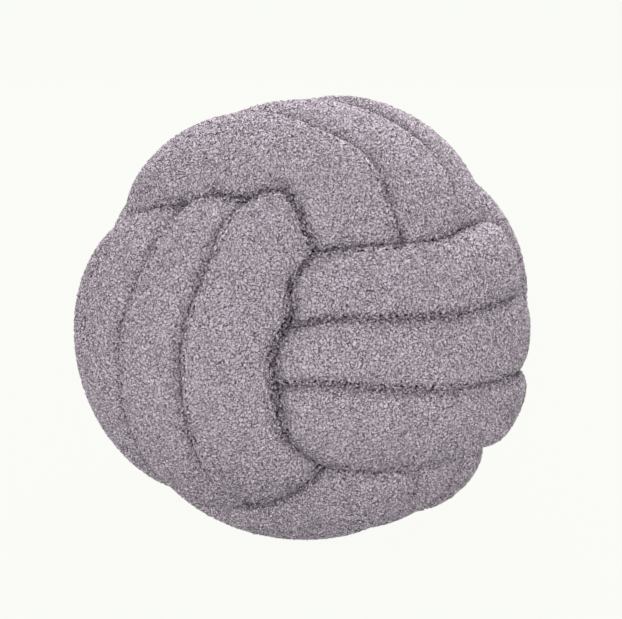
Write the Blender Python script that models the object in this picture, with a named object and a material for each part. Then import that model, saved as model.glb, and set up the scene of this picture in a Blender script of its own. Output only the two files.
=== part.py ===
"""Knot cushion: one long stuffed tube of teddy cloth, woven into a ball.

The tube runs round the ball in three bands at right angles, each of three turns side by side. So
the ball has six faces like a cube's, and each face is three parallel strands. The two long sides
of a face lie over the strand ends of its neighbours, and its own strand ends dive under theirs.

A point of the ball is a direction from the centre and a radius. The direction is found on a face
between its four sides, and the radius falls from each strand's crown into the grooves beside it.
Metres, +Z up, origin under the middle of the ball on the surface it rests on.
"""

import bmesh
import bpy
import numpy as np

# Main sizes
CROWN_RADIUS = 0.1490          # centre of the ball to the crown of a strand
DIVE_RADIUS = 0.1290           # centre to the crown of a strand where it dives under the next face
GROOVE_DEPTH = 0.0125          # crown to the bottom of the groove between two strands
DIVE_GROOVE_DEPTH = 0.0205     # the same where the strands dive
WIDTH_STRETCH = 1.030          # the ball is a little wider than high
HEIGHT_STRETCH = 0.985
CREASE_DEPTH = 0.008           # the cloth is drawn in this much more along the sides of a face
GROOVE_CREASE_DEPTH = 0.007    # and along the grooves between its strands
CREASE_WIDTH = 0.0025          # distance from the line over which that fades
HALF_FACE = 0.118              # half a face's width along the ball
SAG = 0.0060                   # how far the ball is pressed in where it rests
SAG_ROUNDING = 0.0020          # height over which the pressed spot turns into the round

# Roundness of the forms, as powers: 2 is an ellipse, more is fuller
STRAND_FULLNESS = 3.1          # a strand's cross-section
DIVE_FULLNESS = 3.2            # the crown's run down to its ends
DIVE_START = 8                 # how late the grooves deepen, and the drift of a groove line ends
PINCH_SHARPNESS = 6            # how close to the covering strand a diving groove's notch stays

STRANDS = 3                    # on each face
STEPS = 10                     # mesh steps across one strand
WELD_DISTANCE = 0.00001        # points of neighbouring faces this close are one

# A face is named by its normal. Its strands run along the next axis in turn, and lie side by side
# along the one after: on the X faces they run along Y, on the Y faces along Z, on the Z faces along X.
FACES = ("+x", "-x", "+y", "-y", "+z", "-z")
NEXT_AXES = {0: (1, 2), 1: (2, 0), 2: (0, 1)}

# The knot isn't quite even. Each corner where three faces meet: turn about Z and rise, in degrees,
# from the cube's own corner.
CORNER_SHIFTS = {
    # corner: (turn, rise)
    (1, -1, -1): (3.5, 8.0),
    (1, 1, 1): (-6.0, -4.5),
    (-1, -1, 1): (7.0, -4.0),
    (-1, -1, -1): (1.0, -6.0),
    (-1, 1, 1): (2.0, 2.0),
    (-1, 1, -1): (-3.0, 1.5),
}

# The long sides of a face bow towards its middle, pushed by the neighbour's strand ends.
# bow and lean in degrees at mid-length, slide as a share of half the side's length, and fullness
# as a power: 2 is a parabola, more stays bowed nearer to the corners.
EVEN_SIDE = (8.0, 0.0, 0.0, 2)
SIDE_BOWS = {
    # (face, side): (bow, lean, slide, fullness)
    ("-y", 1): (13.6, 0.0, 0.12, 4),
    ("-y", -1): (-6.0, -4.0, 0.0, 2),
    ("+x", 1): (7.5, -2.5, -0.03, 2),
    ("+x", -1): (8.8, 0.0, 0.05, 2),
    ("+z", -1): (5.5, 5.0, 0.17, 2),
    ("-z", -1): (8.5, 0.0, 0.0, 2),
    ("+z", 1): (6.0, 0.0, 0.0, 2),
    ("+y", 1): (4.0, 0.0, 0.03, 2),
    ("-x", 1): (8.0, 0.0, 0.15, 2),
}

# Strand ends push a side further, or less far, over a stretch of it. where and spread as shares of
# half the side's length.
SIDE_PUSHES = {
    # (face, side): rows of (where, spread, degrees)
    ("+z", -1): ((0.74, 0.30, 11.5), (0.08, 0.20, 2.0), (0.83, 0.14, 4.5)),
    ("-y", 1): ((0.56, 0.22, -3.8), (0.84, 0.11, 3.0), (-0.78, 0.18, 2.5)),
    ("+x", -1): ((0.52, 0.42, 5.2), (0.86, 0.20, 4.0)),
}

# The two grooves of a face wander sideways, by shares of half the face's width.
GROOVE_SHIFTS = {
    # (face, groove): (at the start of the strands, middle, end)
    ("+x", 0): (0.22, 0.05, -0.10),
    ("+x", 1): (0.11, 0.0, -0.03),
    ("-y", 0): (0.0, 0.18, 0.14),
    ("-y", 1): (0.0, 0.02, -0.04),
    ("-z", 0): (0.0, 0.15, 0.08),
    ("-z", 1): (0.0, 0.0, -0.14),
    ("+z", 0): (0.20, 0.08, -0.10),
    ("+z", 1): (0.20, 0.06, 0.06),
    ("+y", 0): (0.0, -0.06, 0.04),
    ("-x", 1): (0.05, 0.07, -0.04),
}

# Some strands stand out more than others, in millimetres on the crown radius.
CROWN_LIFTS = {
    # (face, strand): (at the start of the strand, middle, end)
    ("+z", 0): (-2.0, 1.5, -1.0),
    ("+z", 1): (-5.5, -1.0, 0.0),
    ("+z", 2): (5.0, 6.0, -5.0),
    ("+y", 2): (4.0, 3.0, 3.0),
    ("+y", 0): (0.0, -2.0, 2.0),
    ("+x", 0): (0.0, 0.0, 11.5),
    ("+x", 1): (0.0, 0.0, 1.0),
    ("-y", 0): (-2.5, 0.0, -2.5),
    ("-y", 1): (-2.0, 0.0, 0.0),
    ("-z", 0): (0.0, -1.8, 3.0),
    ("-z", 1): (0.0, -2.0, 3.5),
    ("-z", 2): (0.0, 6.0, 9.0),
    ("-x", 0): (0.0, 2.0, 0.0),
    ("-x", 2): (-12.0, -2.0, 2.0),
}

# Places where the whole ball is pressed in.
DENTS = (
    # turn about Z from +X and rise in degrees, depth in millimetres, spread in degrees
    (218.0, 30.0, 2.0, 12.0),
)

CLOTH_COLOUR = (0.400, 0.352, 0.386)
CLOTH_ROUGHNESS = 0.95


def unit(vectors):
    """The vectors at length one."""
    return vectors / np.linalg.norm(vectors, axis=-1, keepdims=True)


def axes_of(face):
    """Normal axis, its sign, the axis the strands run along, and the axis they lie side by side on."""
    normal = "xyz".index(face[1])
    along, across = NEXT_AXES[normal]
    return normal, 1 if face[0] == "+" else -1, along, across


def direction_at(turn, rise):
    """The unit vector at a turn about Z from +X and a rise above the level, both in radians."""
    return np.stack([np.cos(rise) * np.cos(turn), np.cos(rise) * np.sin(turn), np.sin(rise)], -1)


def corner(signs):
    """Where three faces meet: the cube's corner, turned and raised by its row of CORNER_SHIFTS."""
    x, y, z = unit(np.array(signs, float))
    turn, rise = np.radians(CORNER_SHIFTS.get(tuple(signs), (0.0, 0.0)))
    return direction_at(np.arctan2(y, x) + turn, np.arcsin(z) + rise)


def long_side(face, side, place):
    """The long side of a face, at places from -1 to 1 along its strands: the arc of a great circle
    between two corners, turned towards the face's middle by (1 - place^fullness) (bow + lean place),
    and by its rows of SIDE_PUSHES, each a bell curve."""
    normal, sign, along, across = axes_of(face)
    signs = [0, 0, 0]
    signs[normal], signs[across] = sign, side
    ends = []
    for signs[along] in (-1, 1):
        ends.append(corner(signs))
    bow, lean, slide, fullness = SIDE_BOWS.get((face, side), EVEN_SIDE)
    place = place + slide * (1 - place**2)
    angle = np.arccos(ends[0] @ ends[1])
    share = (1 + place[..., None]) / 2
    arc = (np.sin((1 - share) * angle) * ends[0] + np.sin(share * angle) * ends[1]) / np.sin(angle)
    middle = sign * np.eye(3)[normal]
    inward = unit(middle - (arc @ middle)[..., None] * arc)
    degrees = (1 - np.abs(place) ** fullness) * (bow + lean * place)
    for where, spread, push in SIDE_PUSHES.get((face, side), ()):
        degrees = degrees + (1 - place**4) * push * np.exp(-(((place - where) / spread) ** 2))
    turn = np.radians(degrees)[..., None]
    return np.cos(turn) * arc + np.sin(turn) * inward


def between(row, place):
    """The parabola through a row's three values, at the start, middle and end of a strand."""
    start, middle, end = row
    return start * place * (place - 1) / 2 + middle * (1 - place**2) + end * place * (place + 1) / 2


def wandered(face, along, across):
    """The place across the face, moved so that its two grooves take their rows of GROOVE_SHIFTS.
    Each groove moves by its own cubic, which is 1 on that groove and 0 on the other and at the sides."""
    groove = 1 / STRANDS
    moved = 0
    for index, own in enumerate((-groove, groove)):
        cubic = (1 - across**2) * (across + own) / ((1 - groove**2) * 2 * own)
        moved = moved + cubic * between(GROOVE_SHIFTS.get((face, index), (0, 0, 0)), along)
    return across + (1 - along**DIVE_START) * moved


def directions(face, along, across):
    """Unit vectors over a face: its four sides blended as a Coons patch, which adds the blends of
    the two pairs of opposite sides and takes away that of the corners."""
    normal, sign, run, beside = axes_of(face)
    across = wandered(face, along, across)
    ends = [long_side(f"{way}{'xyz'[run]}", sign, across) for way in "-+"]
    sides = [long_side(face, side, along) for side in (-1, 1)]
    shares = [np.stack([1 - place, 1 + place])[..., None] / 2 for place in (along, across)]
    patch = shares[0][0] * ends[0] + shares[0][1] * ends[1]
    patch = patch + shares[1][0] * sides[0] + shares[1][1] * sides[1]
    for i, signs_run in enumerate((-1, 1)):
        for j, signs_beside in enumerate((-1, 1)):
            signs = [0, 0, 0]
            signs[normal], signs[run], signs[beside] = sign, signs_run, signs_beside
            patch = patch - shares[0][i] * shares[1][j] * corner(signs)
    return unit(patch)


def strand_of(place):
    """Which strand a place across a face lies in, and how far across that strand, from -1 to 1."""
    index = np.clip(np.floor((place + 1) * STRANDS / 2), 0, STRANDS - 1)
    return index.astype(int), np.clip(place * STRANDS - (2 * index - STRANDS + 1), -1, 1)


def fall(offset):
    """How far a strand's cross-section has fallen: 0 on its crown, 1 in the groove (superellipse)."""
    return 1 - (1 - np.abs(offset) ** STRAND_FULLNESS) ** (1 / STRAND_FULLNESS)


def notch(place):
    """How deep the shared side lies under DIVE_RADIUS, from 0 to 1: the fall of the diving strands,
    and a sharper one on the half strands next to the corners."""
    index, offset = strand_of(place)
    outermost = (index - 1) * offset > 0
    return fall(offset) ** np.where(outermost, PINCH_SHARPNESS, 1)


def radii(face, along, across):
    """Distance from the ball's centre over a face: the crown's superellipse along the strands, less
    the groove's depth times the fall across the strand. The outer halves of the outer strands fall
    to the side that the face shares with its neighbour instead. A narrow crease, which fades with
    exp(-distance / CREASE_WIDTH), is drawn in along the sides and the grooves."""
    index, offset = strand_of(across)
    rows = [CROWN_LIFTS.get((face, strand), (0, 0, 0)) for strand in range(STRANDS)]
    lift = between(np.moveaxis(np.array(rows)[index], -1, 0), along) / 1000
    rise = (1 - np.abs(along) ** DIVE_FULLNESS) ** (1 / DIVE_FULLNESS)
    crown = DIVE_RADIUS + (CROWN_RADIUS - DIVE_RADIUS + lift) * rise
    depth = GROOVE_DEPTH + (DIVE_GROOVE_DEPTH - GROOVE_DEPTH) * np.abs(along) ** DIVE_START
    grooved = crown - depth * fall(offset)
    flank = crown - (crown - DIVE_RADIUS) * fall(offset)
    flank = flank - DIVE_GROOVE_DEPTH * notch(along) * fall(offset) ** PINCH_SHARPNESS
    outermost = (index - 1) * offset > 0

    to_side = HALF_FACE * (1 - np.maximum(np.abs(along), np.abs(across)))
    to_groove = HALF_FACE / STRANDS * (1 - np.abs(offset))
    at_groove = (1 - np.abs(along) ** DIVE_START) * np.where(outermost, 0.0, 1.0)
    crease = CREASE_DEPTH * np.exp(-to_side / CREASE_WIDTH)
    crease = crease + GROOVE_CREASE_DEPTH * at_groove * np.exp(-to_groove / CREASE_WIDTH)
    return np.where(outermost, flank, grooved) - crease


def mesh_lines():
    """Places of the mesh lines across a face, closer together towards the grooves and the sides."""
    turn = np.linspace(-np.pi / 2, np.pi / 2, STEPS + 1)[:-1]
    lines = [(2 * strand - STRANDS + 1 + np.sin(turn)) / STRANDS for strand in range(STRANDS)]
    return np.append(np.concatenate(lines), 1.0)


def face_points(face):
    """The points of one face on the grid of mesh lines, strands first."""
    along, across = np.meshgrid(mesh_lines(), mesh_lines(), indexing="ij")
    aim = directions(face, along, across)
    radius = radii(face, along, across)
    for turn, rise, depth, spread in DENTS:
        centre = direction_at(np.radians(turn), np.radians(rise))
        steepness = 1 / (1 - np.cos(np.radians(spread)))
        radius = radius - depth / 1000 * np.exp((aim @ centre - 1) * steepness)
    return aim * radius[..., None] * (WIDTH_STRETCH, WIDTH_STRETCH, HEIGHT_STRETCH)


def rested(points):
    """The points with the flat spot pressed in and stood on it: heights below the floor become 0,
    turning into it over SAG_ROUNDING by a parabola, and the box's middle comes over the origin."""
    low, high = points.min(axis=(0, 1, 2)), points.max(axis=(0, 1, 2))
    middle = (low + high) / 2
    height = points[..., 2] - low[2] - SAG
    eased = (np.clip(height, -SAG_ROUNDING, SAG_ROUNDING) + SAG_ROUNDING) ** 2 / (4 * SAG_ROUNDING)
    height = np.where(height > SAG_ROUNDING, height, eased)
    return np.stack([points[..., 0] - middle[0], points[..., 1] - middle[1], height], -1)


def cloth_material():
    """Mauve-grey teddy cloth."""
    material = bpy.data.materials.new("teddy_cloth")
    material.use_nodes = True
    shader = material.node_tree.nodes["Principled BSDF"]
    shader.inputs["Base Color"].default_value = (*CLOTH_COLOUR, 1.0)
    shader.inputs["Roughness"].default_value = CLOTH_ROUGHNESS
    shader.inputs["Metallic"].default_value = 0.0
    return material


def cushion():
    """The whole ball as one closed mesh: six faces of quads, joined where their sides are shared."""
    points = rested(np.stack([face_points(face) for face in FACES]))
    lines = points.shape[1]
    place = np.arange(len(FACES) * lines * lines).reshape(len(FACES), lines, lines)
    quads = np.stack([place[:, :-1, :-1], place[:, 1:, :-1], place[:, 1:, 1:], place[:, :-1, 1:]], -1)
    for index, face in enumerate(FACES):
        if face[0] == "-":
            quads[index] = quads[index, ..., ::-1]
    mesh = bpy.data.meshes.new("knot_cushion")
    mesh.from_pydata(points.reshape(-1, 3).tolist(), [], quads.reshape(-1, 4).tolist())
    joined = bmesh.new()
    joined.from_mesh(mesh)
    bmesh.ops.remove_doubles(joined, verts=joined.verts, dist=WELD_DISTANCE)
    joined.to_mesh(mesh)
    joined.free()
    mesh.shade_smooth()
    mesh.materials.append(cloth_material())
    piece = bpy.data.objects.new("knot_cushion", mesh)
    bpy.context.scene.collection.objects.link(piece)


for thing in list(bpy.data.objects):
    bpy.data.objects.remove(thing, do_unlink=True)
cushion()
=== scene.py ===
"""Knot cushion: one long stuffed tube of teddy cloth, woven into a ball.

The sections follow the making. First the tube's ground cloth in its woven form, then the curled pile
that covers it, and last the floor, the lights and the camera.
"""

import bpy
import numpy as np
from mathutils import Matrix


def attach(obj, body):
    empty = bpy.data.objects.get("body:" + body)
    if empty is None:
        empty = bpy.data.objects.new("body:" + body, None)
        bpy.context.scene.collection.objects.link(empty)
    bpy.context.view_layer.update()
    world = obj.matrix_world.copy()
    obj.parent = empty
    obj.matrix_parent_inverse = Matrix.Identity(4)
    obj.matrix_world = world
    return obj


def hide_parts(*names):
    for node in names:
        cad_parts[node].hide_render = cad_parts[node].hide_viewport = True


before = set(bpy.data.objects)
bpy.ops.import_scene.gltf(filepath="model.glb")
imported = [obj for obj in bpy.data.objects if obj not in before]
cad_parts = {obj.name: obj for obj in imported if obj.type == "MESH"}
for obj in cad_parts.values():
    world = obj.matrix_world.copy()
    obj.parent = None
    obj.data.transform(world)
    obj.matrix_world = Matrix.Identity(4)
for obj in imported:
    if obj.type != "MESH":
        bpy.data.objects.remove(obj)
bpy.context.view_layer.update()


# ---- The tube's ground cloth ----------------------------------------------------------------------
# One long tube of knitted polyester cloth, filled with fibre, pulled tight into a woven ball. It runs
# round the ball in three bands at right angles, each of three turns side by side, so the ball has six
# faces of three strands, and each strand dives under the long side of the next face.

CROWN_RADIUS = 0.1490          # centre of the ball to the crown of a strand
DIVE_RADIUS = 0.1290           # centre to the crown of a strand where it dives under the next face
GROOVE_DEPTH = 0.0125          # crown to the bottom of the groove between two strands
DIVE_GROOVE_DEPTH = 0.0205     # the same where the strands dive
WIDTH_STRETCH = 1.030          # the ball is a little wider than high
HEIGHT_STRETCH = 0.985
SAG = 0.0060                   # how far the ball is pressed in where it rests
SAG_ROUNDING = 0.0020          # height over which the pressed spot turns into the round
STRAND_FULLNESS = 3.1          # power of a strand's cross-section: 2 is an ellipse, more is fuller
DIVE_FULLNESS = 3.2            # power of the crown's run down to its ends
DIVE_START = 8                 # how late the grooves deepen, and the drift of a groove line ends
PINCH_SHARPNESS = 6            # how close to the covering strand a diving groove's notch stays
CREASE_DEPTH = 0.008           # the cloth is drawn in this much more along the sides of a face
GROOVE_CREASE_DEPTH = 0.007    # and along the grooves between its strands
CREASE_WIDTH = 0.0025          # distance from the line over which that fades
HALF_FACE = 0.118              # half a face's width along the ball
PILE_DEPTH = 0.0010            # the ground cloth lies this far under the solid's surface
HOLLOW_WIDTH = 0.0007          # distance from a crease over which the painted shade along it fades


STRANDS = 3                    # on each face
STEPS = 26                     # mesh steps across one strand
LINES = STRANDS * STEPS + 1    # mesh lines each way on a face
WELD = 6                       # points of neighbouring faces that agree to so many decimals are one

# A face is named by its normal. Its strands run along the next axis in turn, and lie side by side
# along the one after: on the X faces they run along Y, on the Y faces along Z, on the Z faces along X.
FACES = ("+x", "-x", "+y", "-y", "+z", "-z")
NEXT_AXES = {0: (1, 2), 1: (2, 0), 2: (0, 1)}

# The knot isn't quite even. Each corner where three faces meet: turn about Z and rise, in degrees,
# from the cube's own corner.
CORNER_SHIFTS = {
    # corner: (turn, rise)
    (1, -1, -1): (3.5, 8.0),
    (1, 1, 1): (-6.0, -4.5),
    (-1, -1, 1): (7.0, -4.0),
    (-1, -1, -1): (1.0, -6.0),
    (-1, 1, 1): (2.0, 2.0),
    (-1, 1, -1): (-3.0, 1.5),
}

# The long sides of a face bow towards its middle, pushed by the neighbour's strand ends.
# bow and lean in degrees at mid-length, slide as a share of half the side's length, and fullness
# as a power: 2 is a parabola, more stays bowed nearer to the corners.
EVEN_SIDE = (8.0, 0.0, 0.0, 2)
SIDE_BOWS = {
    # (face, side): (bow, lean, slide, fullness)
    ("-y", 1): (13.6, 0.0, 0.12, 4),
    ("-y", -1): (-6.0, -4.0, 0.0, 2),
    ("+x", 1): (7.5, -2.5, -0.03, 2),
    ("+x", -1): (8.8, 0.0, 0.05, 2),
    ("+z", -1): (5.5, 5.0, 0.17, 2),
    ("-z", -1): (8.5, 0.0, 0.0, 2),
    ("+z", 1): (6.0, 0.0, 0.0, 2),
    ("+y", 1): (4.0, 0.0, 0.03, 2),
    ("-x", 1): (8.0, 0.0, 0.15, 2),
}

# Strand ends push a side further, or less far, over a stretch of it. where and spread as shares of
# half the side's length.
SIDE_PUSHES = {
    # (face, side): rows of (where, spread, degrees)
    ("+z", -1): ((0.74, 0.30, 11.5), (0.08, 0.20, 2.0), (0.83, 0.14, 4.5)),
    ("-y", 1): ((0.56, 0.22, -3.8), (0.84, 0.11, 3.0), (-0.78, 0.18, 2.5)),
    ("+x", -1): ((0.52, 0.42, 5.2), (0.86, 0.20, 4.0)),
}

# The two grooves of a face wander sideways, by shares of half the face's width.
GROOVE_SHIFTS = {
    # (face, groove): (at the start of the strands, middle, end)
    ("+x", 0): (0.22, 0.05, -0.10),
    ("+x", 1): (0.11, 0.0, -0.03),
    ("-y", 0): (0.0, 0.18, 0.14),
    ("-y", 1): (0.0, 0.02, -0.04),
    ("-z", 0): (0.0, 0.15, 0.08),
    ("-z", 1): (0.0, 0.0, -0.14),
    ("+z", 0): (0.20, 0.08, -0.10),
    ("+z", 1): (0.20, 0.06, 0.06),
    ("+y", 0): (0.0, -0.06, 0.04),
    ("-x", 1): (0.05, 0.07, -0.04),
}

# Some strands stand out more than others, in millimetres on the crown radius.
CROWN_LIFTS = {
    # (face, strand): (at the start of the strand, middle, end)
    ("+z", 0): (-2.0, 1.5, -1.0),
    ("+z", 1): (-5.5, -1.0, 0.0),
    ("+z", 2): (5.0, 6.0, -5.0),
    ("+y", 2): (4.0, 3.0, 3.0),
    ("+y", 0): (0.0, -2.0, 2.0),
    ("+x", 0): (0.0, 0.0, 11.5),
    ("+x", 1): (0.0, 0.0, 1.0),
    ("-y", 0): (-2.5, 0.0, -2.5),
    ("-y", 1): (-2.0, 0.0, 0.0),
    ("-z", 0): (0.0, -1.8, 3.0),
    ("-z", 1): (0.0, -2.0, 3.5),
    ("-z", 2): (0.0, 6.0, 9.0),
    ("-x", 0): (0.0, 2.0, 0.0),
    ("-x", 2): (-12.0, -2.0, 2.0),
}

# Places where the whole ball is pressed in.
DENTS = (
    # turn about Z from +X and rise in degrees, depth in millimetres, spread in degrees
    (218.0, 30.0, 2.0, 12.0),
)


def unit(vectors):
    """The vectors at length one."""
    return vectors / np.linalg.norm(vectors, axis=-1, keepdims=True)


def axes_of(face):
    """Normal axis, its sign, the axis the strands run along, and the axis they lie side by side on."""
    normal = "xyz".index(face[1])
    along, across = NEXT_AXES[normal]
    return normal, 1 if face[0] == "+" else -1, along, across


def direction_at(turn, rise):
    """The unit vector at a turn about Z from +X and a rise above the level, both in radians."""
    return np.stack([np.cos(rise) * np.cos(turn), np.cos(rise) * np.sin(turn), np.sin(rise)], -1)


def corner(signs):
    """Where three faces meet: the cube's corner, turned and raised by its row of CORNER_SHIFTS."""
    x, y, z = unit(np.array(signs, float))
    turn, rise = np.radians(CORNER_SHIFTS.get(tuple(signs), (0.0, 0.0)))
    return direction_at(np.arctan2(y, x) + turn, np.arcsin(z) + rise)


def long_side(face, side, place):
    """The long side of a face, at places from -1 to 1 along its strands: the arc of a great circle
    between two corners, turned towards the face's middle by (1 - place^fullness) (bow + lean place),
    and by its rows of SIDE_PUSHES, each a bell curve."""
    normal, sign, along, across = axes_of(face)
    signs = [0, 0, 0]
    signs[normal], signs[across] = sign, side
    ends = []
    for signs[along] in (-1, 1):
        ends.append(corner(signs))
    bow, lean, slide, fullness = SIDE_BOWS.get((face, side), EVEN_SIDE)
    place = place + slide * (1 - place**2)
    angle = np.arccos(ends[0] @ ends[1])
    share = (1 + place[..., None]) / 2
    arc = (np.sin((1 - share) * angle) * ends[0] + np.sin(share * angle) * ends[1]) / np.sin(angle)
    middle = sign * np.eye(3)[normal]
    inward = unit(middle - (arc @ middle)[..., None] * arc)
    degrees = (1 - np.abs(place) ** fullness) * (bow + lean * place)
    for where, spread, push in SIDE_PUSHES.get((face, side), ()):
        degrees = degrees + (1 - place**4) * push * np.exp(-(((place - where) / spread) ** 2))
    turn = np.radians(degrees)[..., None]
    return np.cos(turn) * arc + np.sin(turn) * inward


def between(row, place):
    """The parabola through a row's three values, at the start, middle and end of a strand."""
    start, middle, end = row
    return start * place * (place - 1) / 2 + middle * (1 - place**2) + end * place * (place + 1) / 2


def wandered(face, along, across):
    """The place across the face, moved so that its two grooves take their rows of GROOVE_SHIFTS.
    Each groove moves by its own cubic, which is 1 on that groove and 0 on the other and at the sides."""
    groove = 1 / STRANDS
    moved = 0
    for index, own in enumerate((-groove, groove)):
        cubic = (1 - across**2) * (across + own) / ((1 - groove**2) * 2 * own)
        moved = moved + cubic * between(GROOVE_SHIFTS.get((face, index), (0, 0, 0)), along)
    return across + (1 - along**DIVE_START) * moved


def directions(face, along, across):
    """Unit vectors over a face: its four sides blended as a Coons patch, which adds the blends of
    the two pairs of opposite sides and takes away that of the corners."""
    normal, sign, run, beside = axes_of(face)
    across = wandered(face, along, across)
    ends = [long_side(f"{way}{'xyz'[run]}", sign, across) for way in "-+"]
    sides = [long_side(face, side, along) for side in (-1, 1)]
    shares = [np.stack([1 - place, 1 + place])[..., None] / 2 for place in (along, across)]
    patch = shares[0][0] * ends[0] + shares[0][1] * ends[1]
    patch = patch + shares[1][0] * sides[0] + shares[1][1] * sides[1]
    for i, signs_run in enumerate((-1, 1)):
        for j, signs_beside in enumerate((-1, 1)):
            signs = [0, 0, 0]
            signs[normal], signs[run], signs[beside] = sign, signs_run, signs_beside
            patch = patch - shares[0][i] * shares[1][j] * corner(signs)
    return unit(patch)


def fall(offset):
    """How far a strand's cross-section has fallen: 0 on its crown, 1 in the groove (superellipse)."""
    return 1 - (1 - np.abs(offset) ** STRAND_FULLNESS) ** (1 / STRAND_FULLNESS)


# Mesh lines across a face: sine steps over each strand, so they lie closer together at the grooves.
turns = np.linspace(-np.pi / 2, np.pi / 2, STEPS + 1)
line_strand = np.append(np.repeat(np.arange(STRANDS), STEPS), STRANDS - 1)
line_offset = np.append(np.tile(np.sin(turns[:-1]), STRANDS), 1.0)
line_place = (2 * line_strand - STRANDS + 1 + line_offset) / STRANDS
line_is_flank = (line_strand - 1) * line_offset > 0     # outer half of an outer strand
line_notch = fall(line_offset) ** np.where(line_is_flank, PINCH_SHARPNESS, 1)


def crease_distances(along):
    """How far each point of a face lies from its nearest side, and from its nearest groove."""
    to_side = HALF_FACE * (1 - np.maximum(np.abs(along), np.abs(along.T)))
    to_groove = HALF_FACE / STRANDS * (1 - np.abs(line_offset)) * np.ones_like(along)
    return to_side, to_groove


def radii(face, along):
    """Distance from the ball's centre over a face: the crown's superellipse along the strands, less
    the groove's depth times the fall across the strand. The outer halves of the outer strands fall
    to the side that the face shares with its neighbour instead. A narrow crease, which fades with
    exp(-distance / CREASE_WIDTH), is drawn in along the sides and the grooves."""
    rows = np.array([CROWN_LIFTS.get((face, strand), (0, 0, 0)) for strand in range(STRANDS)])
    lift = between(np.moveaxis(rows[line_strand], -1, 0), along) / 1000
    rise = (1 - np.abs(along) ** DIVE_FULLNESS) ** (1 / DIVE_FULLNESS)
    crown = DIVE_RADIUS + (CROWN_RADIUS - DIVE_RADIUS + lift) * rise
    depth = GROOVE_DEPTH + (DIVE_GROOVE_DEPTH - GROOVE_DEPTH) * np.abs(along) ** DIVE_START
    fallen = fall(line_offset)
    grooved = crown - depth * fallen
    flank = crown - (crown - DIVE_RADIUS) * fallen
    flank = flank - DIVE_GROOVE_DEPTH * line_notch[:, None] * fallen**PINCH_SHARPNESS
    to_side, to_groove = crease_distances(along)
    at_groove = (1 - np.abs(along) ** DIVE_START) * np.where(line_is_flank, 0.0, 1.0)
    crease = CREASE_DEPTH * np.exp(-to_side / CREASE_WIDTH)
    crease = crease + GROOVE_CREASE_DEPTH * at_groove * np.exp(-to_groove / CREASE_WIDTH)
    return np.where(line_is_flank, flank, grooved) - crease


def hollows(along):
    """How close each point of a face lies to a side or a groove: 1 on it, fading with the distance."""
    to_side, to_groove = crease_distances(along)
    at_groove = np.where(line_is_flank, 0.0, 1.0)
    return np.maximum(np.exp(-to_side / HOLLOW_WIDTH), at_groove * np.exp(-to_groove / HOLLOW_WIDTH))


def face_points(face):
    """The points of one face on the grid of mesh lines, strands first."""
    along, across = np.meshgrid(line_place, line_place, indexing="ij")
    aim = directions(face, along, across)
    radius = radii(face, along)
    for turn, rise, depth, spread in DENTS:
        centre = direction_at(np.radians(turn), np.radians(rise))
        steepness = 1 / (1 - np.cos(np.radians(spread)))
        radius = radius - depth / 1000 * np.exp((aim @ centre - 1) * steepness)
    return aim * radius[..., None] * (WIDTH_STRETCH, WIDTH_STRETCH, HEIGHT_STRETCH)


# The six faces round the ball's centre, and where that centre lies once the ball stands on its spot.
ball = np.stack([face_points(face) for face in FACES])
ball_low, ball_high = ball.min(axis=(0, 1, 2)), ball.max(axis=(0, 1, 2))
ball_centre = -(ball_low + ball_high) / 2
ball_centre[2] = -ball_low[2] - SAG


def pressed(height):
    """Heights with the flat spot pressed in: below the floor they become 0, turning into it over
    SAG_ROUNDING by a parabola."""
    eased = (np.clip(height, -SAG_ROUNDING, SAG_ROUNDING) + SAG_ROUNDING) ** 2 / (4 * SAG_ROUNDING)
    return np.where(height > SAG_ROUNDING, height, eased)


ball = ball + ball_centre
ball[..., 2] = pressed(ball[..., 2])

# One closed mesh: points of neighbouring faces that agree are one, and quads point outwards.
_, first, joined = np.unique(
    np.round(ball.reshape(-1, 3), WELD), axis=0, return_index=True, return_inverse=True)
joined = joined.reshape(len(FACES), LINES, LINES)
tips = ball.reshape(-1, 3)[first]
quads = np.stack([joined[:, :-1, :-1], joined[:, 1:, :-1], joined[:, 1:, 1:], joined[:, :-1, 1:]], -1)
for index, face in enumerate(FACES):
    if face[0] == "-":
        quads[index] = quads[index, ..., ::-1]
quads = quads.reshape(-1, 4)


def point_normals(points, quads):
    """Each point's normal: the mean of the cross products of the diagonals of the quads around it."""
    a, b, c, d = (points[quads[:, i]] for i in range(4))
    cross = np.cross(c - a, d - b)
    total = np.zeros_like(points)
    for i in range(4):
        np.add.at(total, quads[:, i], cross)
    return unit(total)


outward = point_normals(tips, quads)
ground = tips - PILE_DEPTH * outward
face_grid = np.meshgrid(line_place, line_place, indexing="ij")
# How near each point lies to a side or a groove, for the painted shade along the creases and the fluff
# beside them
face_hollow = hollows(face_grid[0])
crease_shade = np.zeros(len(ground))
np.maximum.at(crease_shade, joined, np.broadcast_to(face_hollow, joined.shape))

mesh = bpy.data.meshes.new("ground_cloth")
mesh.from_pydata(ground.tolist(), [], quads.tolist())
mesh.shade_smooth()
ground_cloth = bpy.data.objects.new("ground_cloth", mesh)
bpy.context.scene.collection.objects.link(ground_cloth)

# UV map: the six faces lie in three columns and two rows, each in a cell with a small margin.
UV_COLUMNS, UV_ROWS, UV_MARGIN = 3, 2, 0.01
cell = np.arange(len(FACES))
cell_corner = np.stack([cell % UV_COLUMNS, cell // UV_COLUMNS], -1)[:, None, None, :]
inside = (np.stack(face_grid, -1) + 1) / 2
flat = (cell_corner + UV_MARGIN + (1 - 2 * UV_MARGIN) * inside) / (UV_COLUMNS, UV_ROWS)
loop_uv = np.stack([flat[:, :-1, :-1], flat[:, 1:, :-1], flat[:, 1:, 1:], flat[:, :-1, 1:]], -2)
for index, face in enumerate(FACES):
    if face[0] == "-":
        loop_uv[index] = loop_uv[index, ..., ::-1, :]
mesh.uv_layers.new(name="OFBake").uv.foreach_set("vector", loop_uv.ravel())
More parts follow.
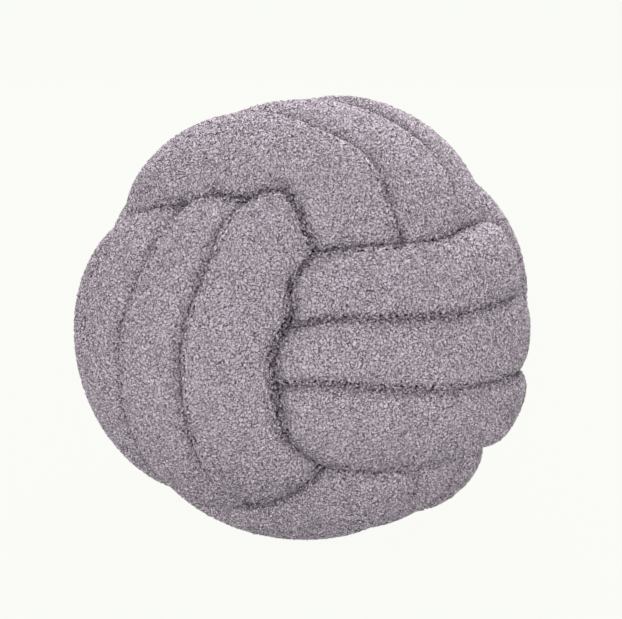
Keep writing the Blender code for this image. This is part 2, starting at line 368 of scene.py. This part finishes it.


# The colour runs from the pits' painted shade at 0 to the tufts' own colour at 1. The relief, which paints
# shade into the cracks, the patches, the random tone with its painted shade, and the creases' painted
# shade add up to its place on that run.
PIT_SHADE_COLOUR = (0.03, 0.019, 0.027)
TUFT_COLOUR = (0.75, 0.66, 0.735)
CLUMPS_PER_METRE = 420.0       # matted clumps of fleece, 2.4 mm wide, with cracks between them that get painted shade
TUFTS_PER_METRE = 720.0        # tufts of 1.4 mm inside them
FIBRES_PER_METRE = 1500.0      # single fibres
PATCHES_PER_METRE = 25.0       # patches of 40 mm that took the dye a little differently
WOBBLE = 0.0030                # reach of the noise that bends the cracks
CRACK_WIDTH = 0.16             # stretch beside a crack over which a clump rises, as a share of its width
TUFT_WIDTH = 0.22              # the same for a tuft
TUFT_SHARE = 0.22              # height of the tufts, beside 1 for the clumps
FIBRE_SHARE = 1.45             # height of the fibres' noise, beside 1 for the clumps
PATCH_SHARE = 0.12             # how much of the colour's run the patches take
PIT_SHARE = 1.15               # how much of it the relief takes, which paints shade into the cracks
CREASE_SHADE_DROP = 3.0              # how far the painted shade of a crease lowers the colour
GROUND_SHADE = -1.05            # tone of the ground cloth, painted dark as the shade between the curls

RELIEF_STRENGTH = 0.8
GROUND_RELIEF = 0.0007         # height of the relief on the ground cloth
ROUGHNESS = 0.92
SHINE = 0.15                   # specular level
SHEEN = 0.33                   # the soft light that fibres catch at a grazing angle
SHEEN_ROUGHNESS = 0.55
SHEEN_TINT = (1.0, 0.88, 0.97)

# Sockets of a Mix node that mixes colours: share, first and second colour, result.
MIX_SHARE, MIX_FIRST, MIX_SECOND, MIX_RESULT = 0, 6, 7, 2


def teddy_group():
    """The colour and the relief of the teddy cloth as a node group. Height: the fleece is matted into
    clumps, and these into tufts. Each is a Voronoi cell, flat but for a smooth drop over a narrow
    stretch beside its edge, and noise bends the cracks between them. Finer noise is added for the
    fibres. Colour: from Dark, a painted shade, in the cracks to Light on the tufts, at PIT_SHARE times
    the height, so the cracks get painted shade, plus the patches and ToneAndShade, less
    CREASE_SHADE_DROP times CreaseShade, the painted shade of a crease, which is 1 in a crease and 0 away
    from it."""
    group = bpy.data.node_groups.new("teddy_yarn", "ShaderNodeTree")
    face = group.interface
    face.new_socket("Vector", in_out="INPUT", socket_type="NodeSocketVector")
    face.new_socket("Dark", in_out="INPUT", socket_type="NodeSocketColor")
    face.new_socket("Light", in_out="INPUT", socket_type="NodeSocketColor")
    face.new_socket("ToneAndShade", in_out="INPUT", socket_type="NodeSocketFloat")
    face.new_socket("CreaseShade", in_out="INPUT", socket_type="NodeSocketFloat")
    face.new_socket("Colour", in_out="OUTPUT", socket_type="NodeSocketColor")
    face.new_socket("Height", in_out="OUTPUT", socket_type="NodeSocketFloat")
    nodes, links = group.nodes, group.links
    entry = nodes.new("NodeGroupInput")
    leave = nodes.new("NodeGroupOutput")

    def texture(kind, scale, vector):
        """A texture of so many cells or waves a metre, read at the vector."""
        node = nodes.new(kind)
        node.inputs["Scale"].default_value = scale
        links.new(vector, node.inputs["Vector"])
        return node

    def times_plus(value, factor, more):
        """value times factor, plus more; each is a socket or a number."""
        node = nodes.new("ShaderNodeMath")
        node.operation = "MULTIPLY_ADD"
        for socket, source in zip(node.inputs, (value, factor, more)):
            if isinstance(source, bpy.types.NodeSocket):
                links.new(source, socket)
            else:
                socket.default_value = source
        return node.outputs[0]

    def cells(scale, width):
        """Voronoi cells: 0 on their edges, rising smoothly to 1 at the width from them."""
        edge = texture("ShaderNodeTexVoronoi", scale, bent.outputs[0])
        edge.feature = "DISTANCE_TO_EDGE"
        reach = nodes.new("ShaderNodeMapRange")
        reach.interpolation_type = "SMOOTHSTEP"
        reach.inputs["From Max"].default_value = width
        links.new(edge.outputs["Distance"], reach.inputs["Value"])
        return reach.outputs["Result"]

    fibres = texture("ShaderNodeTexNoise", FIBRES_PER_METRE, entry.outputs["Vector"])
    bends = texture("ShaderNodeTexNoise", TUFTS_PER_METRE, entry.outputs["Vector"])
    patches = texture("ShaderNodeTexNoise", PATCHES_PER_METRE, entry.outputs["Vector"])
    bent = nodes.new("ShaderNodeVectorMath")
    bent.operation = "MULTIPLY_ADD"
    bent.inputs[1].default_value = (WOBBLE, WOBBLE, WOBBLE)
    links.new(bends.outputs["Color"], bent.inputs[0])
    links.new(entry.outputs["Vector"], bent.inputs[2])
    tufts = cells(TUFTS_PER_METRE, TUFT_WIDTH)
    clumps = cells(CLUMPS_PER_METRE, CRACK_WIDTH)
    height = times_plus(tufts, TUFT_SHARE, clumps)
    height = times_plus(fibres.outputs["Fac"], FIBRE_SHARE, height)
    links.new(height, leave.inputs["Height"])
    toned = times_plus(patches.outputs["Fac"], PATCH_SHARE, entry.outputs["ToneAndShade"])
    toned = times_plus(entry.outputs["CreaseShade"], -CREASE_SHADE_DROP, toned)
    toned = times_plus(height, PIT_SHARE, toned)
    mix = nodes.new("ShaderNodeMix")
    mix.data_type = "RGBA"
    links.new(toned, mix.inputs[MIX_SHARE])
    links.new(entry.outputs["Dark"], mix.inputs[MIX_FIRST])
    links.new(entry.outputs["Light"], mix.inputs[MIX_SECOND])
    links.new(mix.outputs[MIX_RESULT], leave.inputs["Colour"])
    return group


teddy_yarn = teddy_group()


def teddy_material(name, relief):
    """Matt fuzzy cloth: the yarn group's colour and relief, a soft sheen and hardly any shine. The
    mesh's point attributes "tone_and_shade" and "crease_shade" lighten or darken the colour: the first
    holds differences at random and painted shade, the second the painted shade of the creases."""
    material = bpy.data.materials.new(name)
    material.use_nodes = True
    nodes, links = material.node_tree.nodes, material.node_tree.links
    shader = nodes["Principled BSDF"]
    place = nodes.new("ShaderNodeTexCoord")
    yarn = nodes.new("ShaderNodeGroup")
    yarn.node_tree = teddy_yarn
    yarn.inputs["Dark"].default_value = (*PIT_SHADE_COLOUR, 1.0)
    yarn.inputs["Light"].default_value = (*TUFT_COLOUR, 1.0)
    links.new(place.outputs["Object"], yarn.inputs["Vector"])
    for attribute, socket in (("tone_and_shade", "ToneAndShade"), ("crease_shade", "CreaseShade")):
        read = nodes.new("ShaderNodeAttribute")
        read.attribute_name = attribute
        links.new(read.outputs["Fac"], yarn.inputs[socket])
    bump = nodes.new("ShaderNodeBump")
    bump.inputs["Strength"].default_value = RELIEF_STRENGTH
    bump.inputs["Distance"].default_value = relief
    links.new(yarn.outputs["Height"], bump.inputs["Height"])
    links.new(bump.outputs["Normal"], shader.inputs["Normal"])
    links.new(yarn.outputs["Colour"], shader.inputs["Base Color"])
    shader.inputs["Roughness"].default_value = ROUGHNESS
    shader.inputs["Specular IOR Level"].default_value = SHINE
    shader.inputs["Sheen Weight"].default_value = SHEEN
    shader.inputs["Sheen Roughness"].default_value = SHEEN_ROUGHNESS
    shader.inputs["Sheen Tint"].default_value = (*SHEEN_TINT, 1.0)
    return material


def set_point_values(mesh, name, values):
    """Writes one number for each point of a mesh as an attribute."""
    mesh.attributes.new(name, "FLOAT", "POINT").data.foreach_set("value", np.ravel(values))


# The ground cloth is painted in shade all over, darker still along the creases, for the shade between the
# curls
set_point_values(mesh, "tone_and_shade", np.full(len(ground), GROUND_SHADE))
set_point_values(mesh, "crease_shade", crease_shade)
mesh.materials.append(teddy_material("ground_cloth", GROUND_RELIEF))
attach(ground_cloth, "root")
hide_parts("knot_cushion")


# ---- The curled pile ------------------------------------------------------------------------------
# Short curls of fleecy yarn that stand on the ground cloth, and mat together into small clumps with
# cracks between them, which are real gaps and get painted shade as well. Each curl is a tiny bent
# bean with closed ends, and the curls of each face are one mesh.

CURL_AREA = 2.70e-6            # cloth for each curl, in square metres
CURL_LENGTH = 0.0032
LENGTH_SPREAD = 0.3            # most that a curl is longer or shorter, as a share of its length
CURL_RADIUS = 0.00074
RADIUS_SPREAD = 0.2            # the same for its radius
CURL_HEIGHT = 0.0004           # middle of a curl above the ground cloth, in a crack
CURL_BEND = 0.45               # most that its middle stands off the line between its ends, of its length
CURL_LEAN = 20                 # most that a curl leans out of the cloth, in degrees
CURL_SIDES = (90, 210, 330)    # turns of its three side points round its middle, the first on top
CURL_TOPS = (0.7, 0.7, 1.0, 0.0, 0.0)    # how far up its two ends and three side points count, for the painted shade under it
CURL_SOFTNESS = 2.0            # weight of the cloth's normal in its shading, beside 1 for its own
CREASE_FLUFF = 0.0045          # extra height beside a crease, of which its fall leaves about half at most
FLUFF_REACH = 0.25             # power of that fall: a smaller one reaches further from the crease
FLUFF_LEAST = 0.5              # the least share of the fluff that a curl may have
CREASE_FILL = 0.4              # how far a crease's curls turn straight out from the ball's centre
CLUMPS = 58                    # clumps each way on a face, about 4 mm wide
CLUMP_RISE = 0.0010            # how far a clump's middle stands above its cracks
CLUMP_FULLNESS = 0.40          # depth inside a clump, as nearest_clumps counts it, where its dome flattens
CLUMP_TILT = 0.55              # how far a curl leans away from its clump's middle
CLUMP_REACH = 0.002            # distance from that middle at which it leans that far
CLUMP_PULL = 0.10              # share of the way to that middle that they are drawn in, which opens cracks
CURL_TONE = -0.82              # tone on top of a curl, which the relief's height lifts again
TONE_SPREAD = 0.08             # how far one curl's tone differs from the next
ROOT_SHADE = -0.20              # painted shade added to the tone on a curl's underside
CRACK_SHADE = -0.20             # painted shade added to the tone of the curls in a crack
PILE_RELIEF = 0.0009           # height of the material's relief on the curls
SCATTER_CELLS = 170            # cells each way on a face, for the count of curls in each
LAST_LINE = LINES - 1 - 1e-6   # just before the last mesh line, so that one more always follows
CHANCE_SEED = 595
chance = np.random.default_rng(CHANCE_SEED)


def on_grid(grid, along, across):
    """Values of a face's grid at places from -1 to 1 each way, by bilinear blending. The sine steps
    of the mesh lines are undone to find the line below each place."""
    rows = []
    for place in (along, across):
        strand = np.clip(np.floor((place + 1) * STRANDS / 2), 0, STRANDS - 1)
        offset = np.clip(place * STRANDS - (2 * strand - STRANDS + 1), -1, 1)
        line = (strand + np.arcsin(offset) / np.pi + 0.5) * STEPS
        rows.append(np.clip(line, 0, LAST_LINE))
    i, j = (row.astype(int) for row in rows)
    u, v = (rows[0] - i)[..., None], (rows[1] - j)[..., None]
    return ((1 - u) * (1 - v) * grid[i, j] + u * (1 - v) * grid[i + 1, j]
            + (1 - u) * v * grid[i, j + 1] + u * v * grid[i + 1, j + 1])


def scattered(surface):
    """Places of the curls on a face: each cell gets its area divided by CURL_AREA, rounded up or
    down by chance, at chance places inside it."""
    edges = np.linspace(-1, 1, SCATTER_CELLS + 1)
    points = on_grid(surface, *np.meshgrid(edges, edges, indexing="ij"))
    crossed = np.cross(points[1:, 1:] - points[:-1, :-1], points[1:, :-1] - points[:-1, 1:])
    wanted = np.linalg.norm(crossed, axis=-1) / 2 / CURL_AREA
    count = np.floor(wanted + chance.random(wanted.shape)).astype(int)
    i, j = np.nonzero(count)
    i, j = (np.repeat(value, count[i, j]) for value in (i, j))
    step = 2 / SCATTER_CELLS
    return edges[i] + step * chance.random(len(i)), edges[j] + step * chance.random(len(j))


def nearest_clumps(along, across):
    """For places on a face: the nearest of the clumps' middles, which lie at chance places in the
    cells of a grid, and how far inside its clump each place is. That is the distance to the second
    nearest less the distance to the nearest, in cells: 0 in a crack."""
    jitter = chance.random((CLUMPS + 2, CLUMPS + 2, 2))
    places = (np.stack([along, across], -1) + 1) * CLUMPS / 2
    own = np.clip(np.floor(places).astype(int), 0, CLUMPS - 1)
    steps = np.stack(np.meshgrid((-1, 0, 1), (-1, 0, 1), indexing="ij"), -1).reshape(-1, 2)
    cells = own[:, None, :] + steps
    middles = cells + jitter[cells[..., 0] + 1, cells[..., 1] + 1]
    distance = np.linalg.norm(middles - places[:, None, :], axis=-1)
    order = np.argsort(distance, axis=1)[:, :2]
    first, second = np.take_along_axis(distance, order, axis=1).T
    nearest = middles[np.arange(len(places)), order[:, 0]]
    nearest = np.clip(nearest * 2 / CLUMPS - 1, -1, 1)
    return nearest[:, 0], nearest[:, 1], second - first


def curl_points(centres, normals):
    """Points of the curls [curl, point, 3]: its two ends and the side points round its middle. The
    ends lie at (+-L/2 cos(lean), -bend/2, +-L/2 sin(lean)) on axes along, beside and out of the
    cloth, and the middle at bend/2 on the one beside. The side points stand round it at its radius."""
    count = len(centres)
    first = unit(np.cross(normals, chance.normal(size=normals.shape)))
    beside = np.cross(normals, first)
    lean = np.radians(CURL_LEAN) * chance.uniform(-1, 1, (count, 1))
    run = np.cos(lean) * first + np.sin(lean) * normals
    over = np.cos(lean) * normals - np.sin(lean) * first
    length = CURL_LENGTH * chance.uniform(1 - LENGTH_SPREAD, 1 + LENGTH_SPREAD, (count, 1))
    radius = CURL_RADIUS * chance.uniform(1 - RADIUS_SPREAD, 1 + RADIUS_SPREAD, (count, 1))
    bend = CURL_BEND * length * chance.uniform(-1, 1, (count, 1))
    columns = [
        centres - (length * run + bend * beside) / 2,
        centres + (length * run - bend * beside) / 2,
    ]
    middle = centres + bend / 2 * beside
    for degrees in CURL_SIDES:
        angle = np.radians(degrees)
        columns.append(middle + radius * (np.cos(angle) * beside + np.sin(angle) * over))
    return np.stack(columns, 1)


def curl_triangles():
    """Triangles of one curl: a fan of the side points at each of its two ends."""
    triangles = []
    for side in range(len(CURL_SIDES)):
        a, b = 2 + side, 2 + (side + 1) % len(CURL_SIDES)
        triangles += [(0, b, a), (1, a, b)]
    return np.array(triangles)


def curl_map(copies):
    """UV corners [curl, triangle, corner, 2]: each curl has its own cell in a square grid, and its
    sides lie beside each other there as rhombs, the two ends at the cell's bottom and top."""
    columns = int(np.ceil(np.sqrt(copies)))
    rhombs = []
    for side in range(len(CURL_SIDES)):
        bottom, top = (side + 0.5, 0.0), (side + 0.5, len(CURL_SIDES))
        left, right = (side, len(CURL_SIDES) / 2), (side + 1.0, len(CURL_SIDES) / 2)
        rhombs += [(bottom, right, left), (top, left, right)]
    inside = UV_MARGIN + (1 - 2 * UV_MARGIN) * np.array(rhombs) / len(CURL_SIDES)
    cells = np.stack([np.arange(copies) % columns, np.arange(copies) // columns], -1)
    return (cells[:, None, None, :] + inside) / columns


def joined_mesh(name, points, triangles):
    """One mesh of many copies: points [copy, point, 3], the same triangles for each."""
    copies, each = points.shape[:2]
    corners = (triangles[None] + each * np.arange(copies)[:, None, None]).ravel()
    mesh = bpy.data.meshes.new(name)
    mesh.vertices.add(copies * each)
    mesh.vertices.foreach_set("co", points.ravel())
    mesh.loops.add(len(corners))
    mesh.loops.foreach_set("vertex_index", corners)
    mesh.polygons.add(len(corners) // 3)
    mesh.polygons.foreach_set("loop_start", np.arange(0, len(corners), 3))
    mesh.update(calc_edges=True)
    mesh.shade_smooth()
    return mesh


pile_material = teddy_material("curled_pile", PILE_RELIEF)
triangles = curl_triangles()
for index, face in enumerate(FACES):
    along, across = scattered(ball[index])
    clump_along, clump_across, inside = nearest_clumps(along, across)
    dome = 1 - np.clip(1 - inside / CLUMP_FULLNESS, 0, 1) ** 2
    roots = on_grid(ground[joined[index]], along, across)
    away = roots - on_grid(ground[joined[index]], clump_along, clump_across)
    normals = unit(on_grid(outward[joined[index]], along, across))

    # The curls stand higher on a clump's dome and beside a crease, and lean away from the clump's
    # middle. On the flat spot they are pressed flat against the floor.
    shade = on_grid(face_hollow[..., None], along, across)
    beside_crease = shade[:, 0] ** FLUFF_REACH * (1 - shade[:, 0])
    fluff = CREASE_FLUFF * beside_crease * chance.uniform(FLUFF_LEAST, 1.0, len(dome))
    normals = unit(normals + CREASE_FILL * beside_crease[:, None] * unit(roots - ball_centre))
    height = CURL_HEIGHT + CLUMP_RISE * dome + fluff
    centres = roots - CLUMP_PULL * away + height[:, None] * normals
    points = curl_points(centres, unit(normals + CLUMP_TILT * away / CLUMP_REACH))
    points[..., 2] = np.maximum(points[..., 2], 0.0)
    name = "pile_" + {"+": "plus", "-": "minus"}[face[0]] + "_" + face[1]
    mesh = joined_mesh(name, points, triangles)
    mesh.uv_layers.new(name="OFBake").uv.foreach_set("vector", curl_map(len(points)).ravel())

    # A mat of fibres shades softly, so a curl's normals turn towards the cloth's.
    facing = unit(points - centres[:, None]) + CURL_SOFTNESS * normals[:, None]
    mesh.normals_split_custom_set_from_vertices(unit(facing).reshape(-1, 3).tolist())
    # Each curl's tone differs at random; painted shade is added in the cracks between clumps, on the
    # curl's underside and along the creases.
    tone_and_shade = chance.normal(CURL_TONE, TONE_SPREAD, len(points)) + CRACK_SHADE * (1 - dome)
    set_point_values(mesh, "tone_and_shade", tone_and_shade[:, None] + ROOT_SHADE * (1 - np.array(CURL_TOPS)))
    set_point_values(mesh, "crease_shade", np.broadcast_to(shade, points.shape[:2]))
    mesh.materials.append(pile_material)
    pile = bpy.data.objects.new(name, mesh)
    bpy.context.scene.collection.objects.link(pile)
    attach(pile, "root")


# ---- Studio: floor, lights and camera -------------------------------------------------------------
# A pale seamless floor, a faint white tent all round and six soft square lamps, as for a catalogue
# picture. The camera looks at the ball from a little above, between its front and right faces.

PICTURE_WIDTH = 622                                         # pixels, and the picture's longer side
CAMERA_TURN, CAMERA_RISE, CAMERA_ROLL = 40.5, 16.3, 0.6     # degrees
CAMERA_DISTANCE = 1.275                                     # from the ball's centre
CAMERA_AIM = (0.0057, 0.0060)                               # right of and above the ball's centre
CAMERA_FOCAL = 1899.2                                       # focal length in pixels
SENSOR = 36.0                                               # width of the sensor in millimetres
BACKDROP = (0.955, 0.965, 0.922)
TENT_COLOUR = (0.96, 0.97, 1.0)
TENT_STRENGTH = 0.2

scene = bpy.context.scene
scene.view_settings.view_transform = "Standard"


def looking_axes(turn, rise):
    """Axes of what faces the ball from a turn about Z and a rise above the level, in degrees: one to
    its right, which is level, one up, and one straight back from the ball."""
    turn, rise = np.radians([turn, rise])
    back = np.array([np.sin(turn) * np.cos(rise), -np.cos(turn) * np.cos(rise), np.sin(rise)])
    right = np.array([np.cos(turn), np.sin(turn), 0.0])
    return right, np.cross(back, right), back


def set_place(thing, right, up, back, spot):
    """Stands a camera or a lamp at a spot, with the three given axes as its own."""
    thing.matrix_world = Matrix(np.vstack([np.stack([right, up, back, spot], 1), [0, 0, 0, 1]]).tolist())


level, upward, back = looking_axes(CAMERA_TURN, CAMERA_RISE)
roll = np.radians(CAMERA_ROLL)
right = level * np.cos(roll) + upward * np.sin(roll)
up = upward * np.cos(roll) - level * np.sin(roll)
spot = ball_centre + CAMERA_AIM[0] * right + CAMERA_AIM[1] * up + CAMERA_DISTANCE * back
camera_data = bpy.data.cameras.new("camera")
camera_data.sensor_width = SENSOR
camera_data.lens = CAMERA_FOCAL / PICTURE_WIDTH * SENSOR
camera = bpy.data.objects.new("camera", camera_data)
set_place(camera, right, up, back, spot)
scene.collection.objects.link(camera)
scene.camera = camera

# The world: the backdrop's colour where the camera sees it, and the faint tent as light.
world = bpy.data.worlds.new("studio")
world.use_nodes = True
scene.world = world
nodes, links = world.node_tree.nodes, world.node_tree.links
tent = nodes["Background"]
tent.inputs["Color"].default_value = (*TENT_COLOUR, 1.0)
tent.inputs["Strength"].default_value = TENT_STRENGTH
seen = nodes.new("ShaderNodeBackground")
seen.inputs["Color"].default_value = (*BACKDROP, 1.0)
path = nodes.new("ShaderNodeLightPath")
either = nodes.new("ShaderNodeMixShader")
links.new(path.outputs["Is Camera Ray"], either.inputs[0])
links.new(tent.outputs[0], either.inputs[1])
links.new(seen.outputs[0], either.inputs[2])
links.new(either.outputs[0], nodes["World Output"].inputs["Surface"])

# The floor meets the backdrop without a line: to the camera it glows in the backdrop's colour, and it
# throws a dimmer light back up at the ball.
FLOOR_HALF = 30.0              # half its width
FLOOR_DROP = 0.0002            # how far it lies under the ball's flat spot
FLOOR_GLOW = 0.992             # its brightness to the camera, beside the backdrop's
FLOOR_BOUNCE = 0.62            # its brightness as light on the ball
FLOOR_GREY = 0.004             # its own colour, nearly black, so that the lamps don't brighten it
floor_mesh = bpy.data.meshes.new("floor")
floor_mesh.from_pydata(
    [(x * FLOOR_HALF, y * FLOOR_HALF, -FLOOR_DROP) for x, y in ((-1, -1), (1, -1), (1, 1), (-1, 1))],
    [], [(0, 1, 2, 3)])
floor = bpy.data.objects.new("floor", floor_mesh)
scene.collection.objects.link(floor)
pale = bpy.data.materials.new("pale_floor")
pale.use_nodes = True
nodes, links = pale.node_tree.nodes, pale.node_tree.links
shader = nodes["Principled BSDF"]
path = nodes.new("ShaderNodeLightPath")
glow = nodes.new("ShaderNodeMix")
glow.data_type = "RGBA"
glow.inputs[MIX_FIRST].default_value = (FLOOR_BOUNCE, FLOOR_BOUNCE, FLOOR_BOUNCE, 1.0)
glow.inputs[MIX_SECOND].default_value = (*(FLOOR_GLOW * value for value in BACKDROP), 1.0)
links.new(path.outputs["Is Camera Ray"], glow.inputs[MIX_SHARE])
links.new(glow.outputs[MIX_RESULT], shader.inputs["Emission Color"])
shader.inputs["Emission Strength"].default_value = 1.0
shader.inputs["Base Color"].default_value = (FLOOR_GREY, FLOOR_GREY, FLOOR_GREY, 1.0)
shader.inputs["Roughness"].default_value = 1.0
shader.inputs["Specular IOR Level"].default_value = 0.0
floor_mesh.materials.append(pale)


# Square lamps that face the ball.
LAMPS = (
    # name, turn about Z and rise in degrees, distance and size in metres, power in watts
    ("top_light", 0.0, 88.0, 1.6, 1.4, 5.0),
    ("wall_light", 220.0, 25.0, 1.7, 1.2, 30.0),
    ("back_light", 205.0, 55.0, 1.7, 1.3, 42.0),
    ("left_light", -40.0, 12.0, 1.9, 1.2, 22.0),
    ("front_light", 40.0, 14.0, 1.9, 1.2, 24.0),
    ("right_light", 95.0, 10.0, 1.9, 1.2, 15.5),
)
for name, turn, rise, distance, size, power in LAMPS:
    light = bpy.data.lights.new(name, "AREA")
    light.size = size
    light.energy = power
    lamp = bpy.data.objects.new(name, light)
    beside, over, away = looking_axes(turn, rise)
    set_place(lamp, beside, over, away, ball_centre + distance * away)
    scene.collection.objects.link(lamp)
